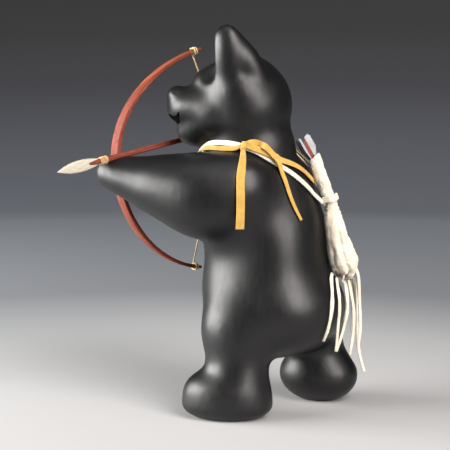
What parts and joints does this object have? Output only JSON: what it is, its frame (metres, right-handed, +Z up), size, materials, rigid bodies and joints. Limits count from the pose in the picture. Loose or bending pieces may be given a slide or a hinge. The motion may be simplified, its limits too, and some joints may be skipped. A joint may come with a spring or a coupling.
{
  "type": "clay bear archer sculpture",
  "caption": "Burnished black clay bear standing on two stubby feet and drawing a small wooden bow, with a buckskin quiver on its back and laces round its neck.",
  "frame": {"origin": "on the floor, under the middle of the box of the whole piece without its cords and laces", "axes": "+Z up, -Y the way the bear's chest faces, +X its left side"},
  "size_m": [0.2016, 0.2223, 0.3198],
  "materials": {
    "burnished_clay": "fired clay, burnished to a satin black",
    "red_wood": "stained red, satin",
    "bone": "ivory-coloured bone, smoothed",
    "pale_thread": "twisted waxed thread, pale yellow",
    "white_buckskin": "soft napped white leather",
    "yellow_suede": "soft napped yellow leather",
    "grey_feather": "trimmed grey-white feather"
  },
  "bodies": {
    "root": {"bear": "burnished_clay", "bow": "red_wood", "bowstring": "pale_thread", "arrow_shaft": "red_wood", "arrow_blade": "bone", "arrow_lashing": "pale_thread", "quiver": "white_buckskin", "spare_arrow_shaft": "red_wood", "spare_arrow_vane_1": "grey_feather", "spare_arrow_vane_2": "grey_feather", "spare_arrow_vane_3": "grey_feather", "neck_strap": "white_buckskin", "yellow_lace": "yellow_suede", "fringe_1": "white_buckskin", "fringe_2": "white_buckskin", "fringe_3": "white_buckskin", "fringe_4": "white_buckskin", "fringe_5": "white_buckskin", "fringe_6": "white_buckskin", "fringe_7": "white_buckskin"}
  },
  "joints": []
}
